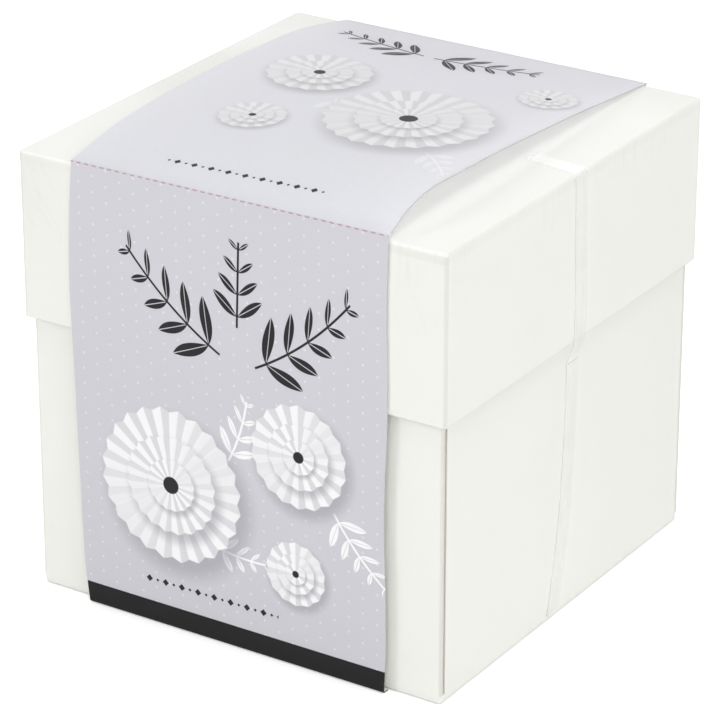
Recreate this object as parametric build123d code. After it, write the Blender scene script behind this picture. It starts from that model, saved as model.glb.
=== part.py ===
from build123d import *
import math
import os

# Lid, measured across its outer faces
lid_width = 120.0
lid_depth = 43.2
lid_card = 0.7
lid_edge_radius = 0.8
box_height = 116.5

# Base under the lid
lid_overhang = 1.75
base_board = 1.1
base_floor_thickness = 2.4
base_floor_edge_radius = 1.0
board_edge_radius = 0.35
board_corner_gap = 1.0
lid_rest_gap = 0.2

# Card layers nested inside the base
layer_gap = 0.4
layer_step_down = 1.0
layer_card = 0.6
layer_floor_card = 0.6
layer_corner_gap = 0.3

# Pockets on the middle layer and the cards that stand in them
pocket_standoff = 1.0
pocket_card = 0.4
pocket_corner_gap = 6.75
pocket_height = 62.0
pocket_lift = 0.6
pocket_seam = 3.0
thumb_notch_radius = 9.0
pull_card_thickness = 0.4
pull_card_side_play = 1.0
pull_card_top_gap = 8.0
pull_card_corner_radius = 4.0

# Round-ended wings folded flat against the inner layer
wing_card = 0.4
wing_gap = 0.3
wing_straight = 3.0
wing_lift = 6.0
wing_top_gap = 10.0
wing_tip_gap = 2.5
wing_hinge_inset = 1.2

# Gift box in the middle of the floor
gift_width = 66.0
gift_body_height = 76.5
gift_card = 0.6
gift_lid_play = 0.7
gift_lid_depth = 20.0
gift_lid_seat_gap = 0.2
gift_edge_radius = 0.4

# Ribbon and bow on the gift box lid
ribbon_width = 9.0
ribbon_thickness = 0.25
bow_loop_length = 17.0
bow_loop_height = 8.5
bow_loop_thickness = 0.5
bow_loop_tilt = 16.0
bow_knot_width = 5.0
bow_knot_height = 4.4
bow_tail_length = 24.0
bow_tail_width = 7.0
bow_tail_turn = 50.0
bow_tail_notch = 2.5
bow_gap = 0.1

# Printed paper sleeve over the top, the front and the back
sleeve_width = 88.4
sleeve_paper = 0.3
sleeve_gap = 0.3
sleeve_crown = 6.0
sleeve_hem_radius = 1.5
sleeve_hem_height = 0.3
sleeve_crease_gap = 0.1

# Clear film seam that runs over the lid and down two sides
film_thickness = 0.15
film_width = 6.3
film_rim_gap = 1.0
film_top_slope = -0.15
film_lid_slope = -0.022
film_wall_slope = 0.09
film_start = 0.4

# The crown of the sleeve as shares of the lid's width and of the crown's height
crown_place_shares = ((-0.5, 0.0), (-0.43, 0.55), (-0.33, 0.9), (-0.12, 1.0),
                      (0.12, 0.97), (0.33, 0.62), (0.5, 0.0))

# Half-widths of the faces, from the outside inwards
lid_face = lid_width / 2
base_face = lid_face - lid_overhang
base_inside = base_face - base_board
middle_face = base_inside - layer_gap
middle_inside = middle_face - layer_card
pocket_face = middle_inside - pocket_standoff
pocket_inside = pocket_face - pocket_card
inner_face = pocket_inside - layer_gap
inner_inside = inner_face - layer_card
wing_face = inner_inside - wing_gap
wing_inside = wing_face - wing_card
sleeve_inside = lid_face + sleeve_gap
sleeve_face = sleeve_inside + sleeve_paper

# Heights above the ground
lid_rim = box_height - lid_depth
lid_ceiling = box_height - lid_card
base_top = lid_ceiling - lid_rest_gap
middle_top = base_top - layer_step_down
inner_top = middle_top - layer_step_down
base_floor_top = base_floor_thickness
middle_floor_top = base_floor_top + layer_floor_card
inner_floor_top = middle_floor_top + layer_floor_card
gift_lid_half = gift_width / 2 + gift_lid_play + gift_card
gift_body_top = inner_floor_top + gift_body_height
gift_lid_top = gift_body_top + gift_lid_seat_gap + gift_card
ribbon_top = gift_lid_top + ribbon_thickness
bow_loop_bottom = ribbon_top + ribbon_thickness + bow_gap
wing_height = inner_top - inner_floor_top - wing_lift - wing_top_gap
wing_hinge_side = inner_inside - wing_hinge_inset
wing_start_side = wing_hinge_side - wing_straight
pocket_half = pocket_inside - pocket_corner_gap
pocket_bottom = middle_floor_top + pocket_lift

wall_covered = base_inside - board_corner_gap

# How far each wall of the base runs from its middle, low end and high end: at every corner one
# wall covers the end of the next, and the front wall covers both of its neighbours
wall_reaches = {"front": (base_face, base_face), "right": (wall_covered, base_face),
                "back": (wall_covered, base_face), "left": (wall_covered, wall_covered)}

# Names of the four sides, each a quarter turn after the one before
side_names = ("front", "right", "back", "left")
quarter_turn = 90


def block(x_low, x_high, y_low, y_high, z_low, z_high):
    """A cuboid between two corners."""
    size = (x_high - x_low, y_high - y_low, z_high - z_low)
    middle = ((x_low + x_high) / 2, (y_low + y_high) / 2, (z_low + z_high) / 2)
    return Pos(*middle) * Box(*size)


def turned(solid, side):
    """The same piece on another side of the box."""
    return Rot(0, 0, quarter_turn * side_names.index(side)) * solid


def upright_edges(solid):
    """Edges that run up and down."""
    return solid.edges().filter_by(Axis.Z)


def lid_shell():
    """Open-bottomed lid with softly rounded outer edges."""
    outside = block(-lid_face, lid_face, -lid_face, lid_face, lid_rim, box_height)
    outside = fillet(upright_edges(outside) + outside.faces().sort_by(Axis.Z)[-1].edges(), lid_edge_radius)
    inside = lid_face - lid_card
    return outside - block(-inside, inside, -inside, inside, lid_rim - lid_card, lid_ceiling)


def base_floor():
    """Floor board of the base with rounded corners and lower edges."""
    plate = block(-base_face, base_face, -base_face, base_face, 0, base_floor_top)
    return fillet(upright_edges(plate) + plate.faces().sort_by(Axis.Z)[0].edges(), base_floor_edge_radius)


def layer_floor(half, bottom):
    """Floor of a nested card layer."""
    return block(-half, half, -half, half, bottom, bottom + layer_floor_card)


def base_wall(low_reach, high_reach):
    """Front wall of the base from end to end; its outer upright edges are worn round."""
    wall = block(-low_reach, high_reach, -base_face, -base_inside, base_floor_top, base_top)
    outer = upright_edges(wall).group_by(Axis.Y)[0]
    return fillet(outer, board_edge_radius)


def layer_wall(face, inside, bottom, top):
    """Front wall of a nested card layer."""
    half = inside - layer_corner_gap
    return block(-half, half, -face, -inside, bottom, top)


def pocket():
    """Pocket on the middle front wall, glued at both sides and at the bottom."""
    top = pocket_bottom + pocket_height
    sheet = block(-pocket_half, pocket_half, -middle_inside, -pocket_inside, pocket_bottom, top)
    slot_half = pocket_half - pocket_seam
    sheet -= block(-slot_half, slot_half, -middle_inside, -pocket_face, pocket_bottom + pocket_seam, top)
    notch = Pos(0, -pocket_face, top) * Rot(quarter_turn, 0, 0)
    return sheet - notch * Cylinder(thumb_notch_radius, 2 * (pocket_standoff + pocket_card))


def pull_card():
    """Loose card that stands in the front pocket."""
    half = pocket_half - pocket_seam - pull_card_side_play
    middle = (middle_inside + pocket_face) / 2
    low = -middle - pull_card_thickness / 2
    bottom = pocket_bottom + pocket_seam
    card = block(-half, half, low, low + pull_card_thickness, bottom, middle_top - pull_card_top_gap)
    corners = card.edges().filter_by(Axis.Y).group_by(Axis.Z)[-1]
    return fillet(corners, pull_card_corner_radius)


def wing(hand):
    """Wing on the inner front wall; hand is 1 for its right end and -1 for its left end."""
    middle = inner_floor_top + wing_lift + wing_height / 2
    reach = wing_start_side - wing_tip_gap
    with BuildSketch(Plane.XZ.offset(wing_inside)) as outline:
        with Locations((hand * wing_start_side, middle)):
            Ellipse(reach, wing_height / 2)
        with Locations((hand * (wing_start_side + reach), middle)):
            Rectangle(2 * reach, wing_height, mode=Mode.SUBTRACT)
        with Locations((hand * (wing_start_side + wing_straight / 2), middle)):
            Rectangle(wing_straight, wing_height)
    return extrude(outline.sketch, wing_card)


def gift_body():
    """Open-topped gift box that is glued to the inner floor."""
    half = gift_width / 2
    outside = block(-half, half, -half, half, inner_floor_top, gift_body_top)
    outside = fillet(upright_edges(outside), gift_edge_radius)
    inside = half - gift_card
    floor_top = inner_floor_top + gift_card
    return outside - block(-inside, inside, -inside, inside, floor_top, gift_body_top + gift_card)


def gift_lid():
    """Lid of the gift box."""
    bottom = gift_lid_top - gift_lid_depth
    half = gift_lid_half
    outside = block(-half, half, -half, half, bottom, gift_lid_top)
    outside = fillet(upright_edges(outside) + outside.faces().sort_by(Axis.Z)[-1].edges(), gift_edge_radius)
    inside = half - gift_card
    return outside - block(-inside, inside, -inside, inside, bottom - gift_card, gift_lid_top - gift_card)


def ribbon_wrap():
    """Two ribbons that cross on the gift lid and run down its skirt."""
    outer = gift_lid_half + ribbon_thickness
    bottom = gift_lid_top - gift_lid_depth
    half = ribbon_width / 2
    bands = block(-outer, outer, -half, half, bottom, ribbon_top)
    bands += block(-half, half, -outer, outer, bottom, ribbon_top)
    return bands - block(-gift_lid_half, gift_lid_half, -gift_lid_half, gift_lid_half, bottom, gift_lid_top)


def bow_loop(hand):
    """One hollow loop of the bow, standing out to one side of the knot."""
    flat = Plane.XZ.offset(-ribbon_width / 2)
    with BuildSketch(flat) as ring:
        Ellipse(bow_loop_length / 2, bow_loop_height / 2)
        Ellipse(bow_loop_length / 2 - bow_loop_thickness, bow_loop_height / 2 - bow_loop_thickness,
                mode=Mode.SUBTRACT)
    loop = extrude(ring.sketch, ribbon_width)
    sine = math.sin(math.radians(bow_loop_tilt))
    cosine = math.cos(math.radians(bow_loop_tilt))
    reach = math.hypot(bow_loop_length / 2 * cosine, bow_loop_height / 2 * sine)
    rise = math.hypot(bow_loop_length / 2 * sine, bow_loop_height / 2 * cosine)
    place = Pos(hand * (bow_knot_width / 2 + reach), 0, bow_loop_bottom + rise)
    return place * Rot(0, -hand * bow_loop_tilt, 0) * loop


def bow_knot():
    """Rounded knot that gathers both loops."""
    half = bow_knot_width / 2
    knot = block(-half, half, -ribbon_width / 2, ribbon_width / 2, ribbon_top, ribbon_top + bow_knot_height)
    return fillet(knot.faces().sort_by(Axis.Z)[-1].edges(), bow_knot_height / 3)


def bow_tail(hand):
    """One flat tail of the bow, from beside the knot to its notched end."""
    half = bow_tail_width / 2
    start = math.hypot(bow_knot_width, ribbon_width) / 2 + bow_gap
    end = start + bow_tail_length
    with BuildSketch() as outline:
        with BuildLine():
            Polyline((start, -half), (end, -half), (end - bow_tail_notch, 0), (end, half), (start, half),
                     close=True)
        make_face()
    tail = Pos(0, 0, ribbon_top) * extrude(outline.sketch, ribbon_thickness)
    turn = -bow_tail_turn if hand > 0 else bow_tail_turn + 2 * quarter_turn
    return Rot(0, 0, turn) * tail


def sleeve_top():
    """Top panel of the sleeve, bowed up off the lid."""
    def crown(drop):
        return [(place * 2 * sleeve_face, box_height + share * sleeve_crown + sleeve_paper - drop)
                for place, share in crown_place_shares]
    over = crown(0)
    under = crown(sleeve_paper)
    with BuildSketch(Plane.YZ.offset(-sleeve_width / 2)) as section:
        with BuildLine():
            Spline(*over)
            Line(over[-1], under[-1])
            Spline(*reversed(under))
            Line(under[0], over[0])
        make_face()
    return extrude(section.sketch, sleeve_width)


def sleeve_panel():
    """Front panel of the sleeve with its lower edge turned in."""
    half = sleeve_width / 2
    top = box_height - sleeve_crease_gap
    bend = sleeve_hem_height + sleeve_hem_radius
    sheet = block(-half, half, -sleeve_face, -sleeve_inside, bend, top)
    place = Pos(0, -sleeve_face + sleeve_hem_radius, bend) * Rot(0, quarter_turn, 0)
    roll = place * Cylinder(sleeve_hem_radius, sleeve_width)
    roll -= place * Cylinder(sleeve_hem_radius - sleeve_paper, sleeve_width)
    quarter = block(-half, half, -sleeve_face, -sleeve_face + sleeve_hem_radius, sleeve_hem_height, bend)
    return sheet + (roll & quarter)


def slanted_strip(start, end, start_middle, slope, height):
    """Flat strip along X whose middle line climbs in Y by slope; it lies on the XY plane."""
    def middle(x):
        return start_middle + slope * (x - start)
    half = film_width / 2
    with BuildSketch() as outline:
        with BuildLine():
            Polyline((start, middle(start) - half), (end, middle(end) - half),
                     (end, middle(end) + half), (start, middle(start) + half), close=True)
        make_face()
    return extrude(outline.sketch, height)


def side_film(hand, face, low, high, high_middle, slope):
    """Upright film strip on the right (hand 1) or left (hand -1) face; going down it drifts by slope."""
    strip = slanted_strip(0, high - low, high_middle, -slope, film_thickness)
    plane = Plane(origin=(hand * face, 0, high), x_dir=(0, 0, -1), z_dir=(hand, 0, 0))
    if hand < 0:
        strip = mirror(strip, Plane.XZ)
    return plane * strip


def film_middle(hand):
    """Where the film's middle line crosses the lid's right or left top edge, along Y."""
    return film_start if hand > 0 else film_start - film_top_slope * lid_width


def lid_film():
    """Film over the lid's top and down its right and left skirts."""
    reach = lid_face + film_thickness
    pieces = slanted_strip(-reach, reach, film_middle(-1), film_top_slope, film_thickness)
    pieces = Pos(0, 0, box_height) * pieces
    for hand in (1, -1):
        top = box_height + film_thickness
        pieces += side_film(hand, lid_face, lid_rim, top, film_middle(hand), film_lid_slope)
    return pieces


def wall_film(hand):
    """Film on the base's right or left wall, below the lid's rim."""
    high = lid_rim - film_rim_gap
    middle = film_middle(hand) - film_lid_slope * (box_height - high)
    return side_film(hand, base_face, base_floor_top, high, middle, film_wall_slope)


def build_nodes():
    """Every piece of the box by name."""
    nodes = {"lid": lid_shell(), "base_floor": base_floor(),
             "middle_floor": layer_floor(middle_face, base_floor_top),
             "inner_floor": layer_floor(inner_face, middle_floor_top)}
    for side in side_names:
        nodes["base_wall_" + side] = turned(base_wall(*wall_reaches[side]), side)
        middle_wall = layer_wall(middle_face, middle_inside, middle_floor_top, middle_top)
        nodes["middle_wall_" + side] = turned(middle_wall, side)
        inner_wall = layer_wall(inner_face, inner_inside, inner_floor_top, inner_top)
        nodes["inner_wall_" + side] = turned(inner_wall, side)
        nodes["pocket_" + side] = turned(pocket(), side)
        nodes["pull_card_" + side] = turned(pull_card(), side)
        nodes["wing_" + side + "_first"] = turned(wing(-1), side)
        nodes["wing_" + side + "_second"] = turned(wing(1), side)
    nodes["gift_box"] = gift_body()
    nodes["gift_lid"] = gift_lid()
    nodes["ribbon_wrap"] = ribbon_wrap()
    nodes["bow_knot"] = bow_knot()
    for hand, name in ((1, "right"), (-1, "left")):
        nodes["bow_loop_" + name] = bow_loop(hand)
        nodes["bow_tail_" + name] = bow_tail(hand)
        nodes["film_wall_" + name] = wall_film(hand)
    nodes["film_lid"] = lid_film()
    nodes["sleeve_top"] = sleeve_top()
    nodes["sleeve_front"] = sleeve_panel()
    nodes["sleeve_back"] = turned(sleeve_panel(), "back")
    return nodes


os.makedirs("parts", exist_ok=True)
for name, solid in build_nodes().items():
    export_step(solid, "parts/" + name + ".step")
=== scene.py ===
import math

import bpy
import numpy as np
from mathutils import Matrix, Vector


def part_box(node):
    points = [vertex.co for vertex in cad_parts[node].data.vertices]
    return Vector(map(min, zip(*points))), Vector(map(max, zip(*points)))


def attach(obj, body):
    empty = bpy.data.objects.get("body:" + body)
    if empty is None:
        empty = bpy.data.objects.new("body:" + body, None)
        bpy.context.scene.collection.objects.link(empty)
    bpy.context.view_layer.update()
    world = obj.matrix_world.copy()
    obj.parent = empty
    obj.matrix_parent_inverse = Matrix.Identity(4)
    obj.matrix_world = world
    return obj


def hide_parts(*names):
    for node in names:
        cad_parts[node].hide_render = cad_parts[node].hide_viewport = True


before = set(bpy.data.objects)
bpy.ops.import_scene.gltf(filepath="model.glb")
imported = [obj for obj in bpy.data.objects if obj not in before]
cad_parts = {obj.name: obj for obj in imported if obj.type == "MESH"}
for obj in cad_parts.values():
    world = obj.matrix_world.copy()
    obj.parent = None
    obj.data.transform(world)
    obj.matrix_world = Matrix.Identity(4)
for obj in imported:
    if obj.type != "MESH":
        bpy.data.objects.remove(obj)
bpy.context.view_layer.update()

MM = 0.001
# Millimetres of sheet that one unit of its UV map covers
SHEET_SPAN = 250.0
# Thickness of the sleeve's paper, in millimetres
PAPER = 0.3

# The view of the photograph, in degrees, millimetres and pixels of a square picture
PICTURE_PIXELS = 720
VIEW_AZIMUTH = 32.78
VIEW_ELEVATION = 24.30
VIEW_DISTANCE = 949.0
VIEW_FOCAL_PIXELS = 3798.6
VIEW_TARGET = (-1.80, 0.0, 52.89)
SENSOR_WIDTH = 36.0


def corners(node):
    """Lowest and highest corner of a node, in millimetres."""
    low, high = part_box(node)
    return np.array(low) / MM, np.array(high) / MM


# Sizes taken from the frame, in millimetres
lid_low, lid_high = corners("lid")
LID_FACE, LID_TOP, LID_RIM = lid_high[0], lid_high[2], lid_low[2]
wall_low, wall_high = corners("base_wall_front")
BASE_FACE, BASE_BOARD, FLOOR_TOP = -wall_low[1], wall_high[1] - wall_low[1], wall_low[2]
sleeve_low, sleeve_high = corners("sleeve_top")
SLEEVE_FACE, SLEEVE_FOLD = sleeve_high[1], sleeve_low[2] + PAPER
gift_low, gift_high = corners("gift_lid")
GIFT_HALF, GIFT_TOP, GIFT_RIM = gift_high[0], gift_high[2], gift_low[2]
RIBBON = corners("ribbon_wrap")[1][2] - GIFT_TOP
KNOT_HALF, _, KNOT_TOP = corners("bow_knot")[1]
LOOP_LOW, LOOP_HIGH = corners("bow_loop_right")


# Shader values and node trees

class Value:
    """A shader socket that takes part in sums; its operators add Math nodes."""

    def __init__(self, nodes, socket):
        self.nodes = nodes
        self.socket = socket

    def math(self, operation, *others):
        """A Math node with this value as its first."""
        return self.nodes.add("ShaderNodeMath", {"operation": operation}, [self, *others])

    def __add__(self, other):
        return self.math("ADD", other)

    def __sub__(self, other):
        return self.math("SUBTRACT", other)

    def __mul__(self, other):
        return self.math("MULTIPLY", other)

    def __truediv__(self, other):
        return self.math("DIVIDE", other)

    def __radd__(self, other):
        return self + other

    def __rmul__(self, other):
        return self * other

    def __rsub__(self, other):
        return self.nodes.add("ShaderNodeMath", {"operation": "SUBTRACT"}, [other, self])

    def __abs__(self):
        return self.math("ABSOLUTE")

    def __mod__(self, step):
        """Remainder that is never negative."""
        return (self / step).math("FRACT") * step

    def below(self, edge, soft):
        """1 under the edge and 0 above it, through a smooth step of the given width."""
        return self.nodes.add("ShaderNodeMapRange", {"interpolation_type": "SMOOTHSTEP"},
                              {"Value": self, "From Min": edge - soft / 2, "From Max": edge + soft / 2,
                               "To Min": 1.0, "To Max": 0.0})

    def above(self, edge, soft):
        """The reverse of below."""
        return 1 - self.below(edge, soft)

    def between(self, low, high, soft):
        """1 from low to high and 0 outside."""
        return self.above(low, soft) * self.below(high, soft)


# The Mix node's colour sockets by number, because its sockets for other kinds share their names
MIX_SHARE, MIX_FIRST, MIX_SECOND, MIX_RESULT = 0, 6, 7, 2


class Nodes:
    """The node tree of a material or of the world."""

    def __init__(self, owner):
        owner.use_nodes = True
        self.owner = owner
        self.tree = owner.node_tree
        self.tree.nodes.clear()

    def add(self, kind, settings=None, inputs=None, output=0):
        """One node: its settings first, then the values or links of its sockets."""
        node = self.tree.nodes.new(kind)
        for key, value in (settings or {}).items():
            setattr(node, key, value)
        pairs = inputs.items() if isinstance(inputs, dict) else enumerate(inputs or [])
        for key, value in pairs:
            if isinstance(value, Value):
                self.tree.links.new(value.socket, node.inputs[key])
            elif isinstance(value, tuple) and len(node.inputs[key].default_value) == 4:
                node.inputs[key].default_value = (*value, 1.0)
            else:
                node.inputs[key].default_value = value
        return Value(self, node.outputs[output]) if node.outputs else None

    def split(self, vector):
        """The three parts of a vector."""
        return [self.add("ShaderNodeSeparateXYZ", inputs=[vector], output=i) for i in range(3)]

    def object_place(self):
        """Object coordinates in millimetres, as one vector and as three values."""
        place = self.add("ShaderNodeTexCoord", output="Object")
        place = self.add("ShaderNodeVectorMath", {"operation": "SCALE"}, {0: place, "Scale": 1 / MM})
        return place, self.split(place)

    def object_normal(self):
        """The way the surface faces, as three values."""
        return self.split(self.add("ShaderNodeTexCoord", output="Normal"))

    def strip_place(self):
        """Share of a strip's width, and millimetres along it, from its UV map."""
        across, along, _ = self.split(self.add("ShaderNodeTexCoord", output="UV"))
        return across, along * SHEET_SPAN

    def sheet_place(self):
        """Millimetres across a sheet from its middle, and along it, from its UV map."""
        across, along = self.strip_place()
        return (across - 0.5) * SHEET_SPAN, along

    def noise(self, place, scale, detail=2.0, rough=0.5):
        """Noise whose scale is cycles per millimetre along each axis."""
        scales = scale if isinstance(scale, tuple) else (scale, scale, scale)
        place = self.add("ShaderNodeVectorMath", {"operation": "MULTIPLY"}, [place, scales])
        return self.add("ShaderNodeTexNoise", inputs={"Vector": place, "Scale": 1.0, "Detail": detail,
                                                      "Roughness": rough})

    def mix(self, share, first, second):
        """Colour mix: a share of 0 gives the first colour and 1 the second."""
        return self.add("ShaderNodeMix", {"data_type": "RGBA"},
                        {MIX_SHARE: share, MIX_FIRST: first, MIX_SECOND: second}, output=MIX_RESULT)

    def marked(self, colour, *marks):
        """Colour with marks laid over it in turn; a mark is the share that it covers and its colour."""
        for share, mark in marks:
            colour = self.mix(share, colour, mark)
        return colour

    def bump(self, height, strength, distance):
        """Normal of a relief; the distance is in millimetres."""
        return self.add("ShaderNodeBump", inputs={"Strength": strength, "Distance": distance * MM,
                                                  "Height": height})

    def surface(self, **inputs):
        """Principled shader; an underscore in a name stands for a space."""
        named = {key.replace("_", " "): value for key, value in inputs.items()}
        return self.add("ShaderNodeBsdfPrincipled", inputs=named)

    def blend(self, share, first, second):
        """Shader mix: a share of 0 gives the first shader and 1 the second."""
        return self.add("ShaderNodeMixShader", inputs=[share, first, second])

    def let_through(self, surface, share):
        """Mix in a share of the light that thin paper lets through."""
        behind = self.add("ShaderNodeBsdfTranslucent", inputs={"Color": PAPER_GLOW})
        return self.blend(share, surface, behind)

    def finish(self, shader):
        """The material, with this shader as its surface."""
        self.add("ShaderNodeOutputMaterial", inputs={"Surface": shader})
        return self.owner


def new_material(name):
    """Empty node tree of a new material."""
    return Nodes(bpy.data.materials.new(name))


def tone(red, green, blue):
    """Linear colour of an 8-bit screen colour."""
    return tuple(((c / 255 + 0.055) / 1.055) ** 2.4 for c in (red, green, blue))


# Colours of the card
CARD_WHITE = tone(244, 244, 239)
CARD_CLOUD = tone(240, 240, 234)
# Painted light: the lid's top is painted paler than its sides
CARD_TOP_PAINTED_LIGHT = tone(246, 246, 242)
# Worn card, also laid on as painted shade on the lid and the base
CARD_WORN_AND_SHADE = tone(223, 223, 216)
CARD_CORE = tone(231, 222, 205)
CARD_CUT = tone(222, 218, 210)
# Painted contact shadow along the foot of the base
CARD_CONTACT_SHADE = tone(208, 208, 206)
# Turned edges of the lid: a painted highlight in front, painted shade at the sides, deeper at the far
# sides
EDGE_FRONT_HIGHLIGHT = tone(250, 250, 248)
EDGE_SIDE_SHADE = tone(236, 236, 231)
EDGE_FAR_SHADE = tone(226, 226, 224)
INSERT_CLOUD = tone(241, 240, 236)
INSERT_WHITE = tone(248, 247, 244)
PEARL_CLOUD = tone(240, 239, 236)
PEARL_WHITE = tone(248, 247, 245)
CREAM_CLOUD = tone(238, 230, 212)
CREAM_LIGHT = tone(243, 236, 220)
CREAM_FLECK = tone(214, 199, 171)

# Colours of the sleeve: its print, its bare back and the painted shade on its cut edge
PRINT_GREY = tone(208, 207, 214)
PRINT_GREY_LOW = tone(202, 201, 207)
PRINT_GREY_TOP = tone(231, 232, 238)
PRINT_GREY_TOP_BACK = tone(230, 230, 237)
PRINT_SHADOW = tone(158, 157, 165)
PRINT_BLACK = tone(32, 32, 32)
PRINT_CHARCOAL = tone(42, 41, 44)
PRINT_RED = tone(176, 114, 128)
PAPER_LIGHT = tone(249, 249, 250)
PAPER_SHADE = tone(221, 219, 222)
PAPER_BACK = tone(243, 243, 242)
PAPER_BACK_CLOUD = tone(234, 233, 230)
# Painted shade on the right side of the top's cut edge
CUT_EDGE_SHADE = tone(207, 202, 203)
CUT_EDGE_SHADE_CLOUD = tone(196, 191, 192)
PAPER_GLOW = tone(250, 250, 252)

# Colours of the film, the ribbon and the floor
FILM_HAZE = tone(228, 228, 232)
FILM_EDGE = tone(206, 204, 197)
FILM_GLARE = tone(255, 253, 255)
FILM_BACK = tone(244, 244, 246)
SATIN_CLOUD = tone(238, 237, 234)
SATIN_WHITE = tone(250, 249, 247)
SATIN_EDGE = tone(224, 222, 217)
FLOOR_WHITE = tone(253, 253, 253)

# Share of light that passes the printed top, where it has no ink, and the bare side of the paper
PASS_TOP = 0.35
PASS_BARE = 0.55


# Card finishes

# Marks on the lid, in millimetres: how far an edge's tone reaches in over its fold and how softly it
# ends, how far the turned edge and the shade under it reach down, and how far the wrinkles do
FOLD_REACH = 0.45
FOLD_SOFT = 0.3
TURNED_EDGE = 0.7
SHADE_START, SHADE_END = 0.9, 2.8
CREASE_DEPTH = 9.0
SLANT_DEPTH = 22.0
SLANT_TURN = math.radians(28)
# The noise level whose contour lines are the slanting wrinkles, and how far out they begin
SLANT_LEVEL = 0.54
SLANT_START = 44
# Light shade: on the top left of one X between two Y, and behind another Y; on the front left of an X;
# and the X right of which the shade under the front's edge is stronger
SHADE_X, SHADE_FRONT_Y, SHADE_BACK_Y, SHADE_FAR_Y = -42, -12, 26, 48
FRONT_SHADE_X = -50
UNDER_SHADE_X = 20
# Marks on the base, in millimetres: painted contact shadow at the foot, the foot darker towards the
# floor,
# # and the score above the floor
CONTACT_SHADE_HEIGHT = 0.5
FOOT_HEIGHT = 1.2
SCORE_RISE = 0.4


def card_surface(m, place, colour, height, rough, coat=0.0):
    """Pressed card: fine fibre in the gloss and the relief over whatever the finish adds."""
    fibre = m.noise(place, (1.9, 1.9, 1.3), 4.0, 0.62)
    return m.surface(Base_Color=colour, Roughness=rough + 0.14 * fibre,
                     Normal=m.bump(fibre * 0.6 + height, 0.25, 0.05),
                     Coat_Weight=coat, Coat_Roughness=0.16, Specular_IOR_Level=0.4)


def lid_card():
    """Glossed lid card. Over a clouded white lie, in turn: rubbed upright corners, the top painted paler
    as painted light, painted shade on its turned edges, deeper at the far sides, but a painted highlight
    on the front one, painted light shade towards the back and the left, painted shade under the edges,
    the cut rim, and painted shade in the wrinkles of the wrap, slanting at the front corners and upright
    under the edges."""
    m = new_material("lid_card")
    place, (x, y, z) = m.object_place()
    top = z.above(LID_TOP - 0.3, 0.2)
    side = abs(x).math("MAXIMUM", abs(y)).above(LID_FACE - FOLD_REACH, FOLD_SOFT)
    front = y.below(FOLD_REACH - LID_FACE, FOLD_SOFT)
    corner = (abs(x) + abs(y)).above(2 * LID_FACE - 0.72, FOLD_SOFT) * z.below(LID_TOP - 0.8, 0.8)
    turned = z.above(LID_TOP - TURNED_EDGE, 0.5)
    far_sides = x.below(0.6 - LID_FACE, FOLD_SOFT).math("MAXIMUM", y.above(LID_FACE - 0.6, FOLD_SOFT))
    back_shade = x.below(SHADE_X, 8) * y.between(SHADE_FRONT_Y, SHADE_BACK_Y, 22)
    back_shade = back_shade + y.above(SHADE_FAR_Y, 24)
    left_shade = front * x.below(FRONT_SHADE_X, 16) * z.above(LID_TOP - 24, 30)
    under = side * z.between(LID_TOP - SHADE_END, LID_TOP - SHADE_START, 0.8)

    creases = m.noise(place, (0.75, 0.75, 0.06), 2.0, 0.6)
    creased = z.above(LID_TOP - CREASE_DEPTH, 8) * m.noise(place, 0.06, 1.0).above(0.5, 0.16)
    turned_place = m.add("ShaderNodeVectorRotate", {"rotation_type": "Y_AXIS"},
                         {"Vector": place, "Angle": SLANT_TURN})
    slanted = m.noise(turned_place, (0.3, 0.3, 0.035), 1.5, 0.5)
    front_corner = y.below(1 - LID_FACE, 1) * z.between(LID_TOP - SLANT_DEPTH, LID_TOP - 1, 10)
    front_corner = front_corner * abs(x).above(SLANT_START, 6)
    streak = abs(slanted - SLANT_LEVEL).below(0.012, 0.022) * front_corner

    colour = m.mix(m.noise(place, 0.035, 3.0), CARD_CLOUD, CARD_WHITE)
    # Painted light on the top and front edge, painted shade on the rest but the corners and the cut rim
    colour = m.marked(colour,
                      (corner * 0.8, CARD_WORN_AND_SHADE),
                      (top, CARD_TOP_PAINTED_LIGHT),
                      (side * turned * (0.9 - 0.9 * front), EDGE_SIDE_SHADE),
                      (side * turned * front * 0.6, EDGE_FRONT_HIGHLIGHT),
                      (far_sides * turned * 0.85, EDGE_FAR_SHADE),
                      (back_shade * top * 0.3, CARD_WORN_AND_SHADE),
                      (left_shade * 0.22, CARD_WORN_AND_SHADE),
                      (under * (0.12 + 0.2 * front * x.above(UNDER_SHADE_X, 30)), CARD_WORN_AND_SHADE),
                      (z.below(LID_RIM + 0.1, 0.15), CARD_CUT),
                      (streak * (0.08 + 0.11 * x.below(0, 1)), CARD_WORN_AND_SHADE),
                      (creases.above(0.56, 0.08) * creased * side * 0.16, CARD_WORN_AND_SHADE))
    height = creases * creased * 4.0 + slanted * front_corner * 7.0 + m.noise(place, 0.02, 2.0) * 1.5
    return m.finish(card_surface(m, place, colour, height, 0.42))


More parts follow.
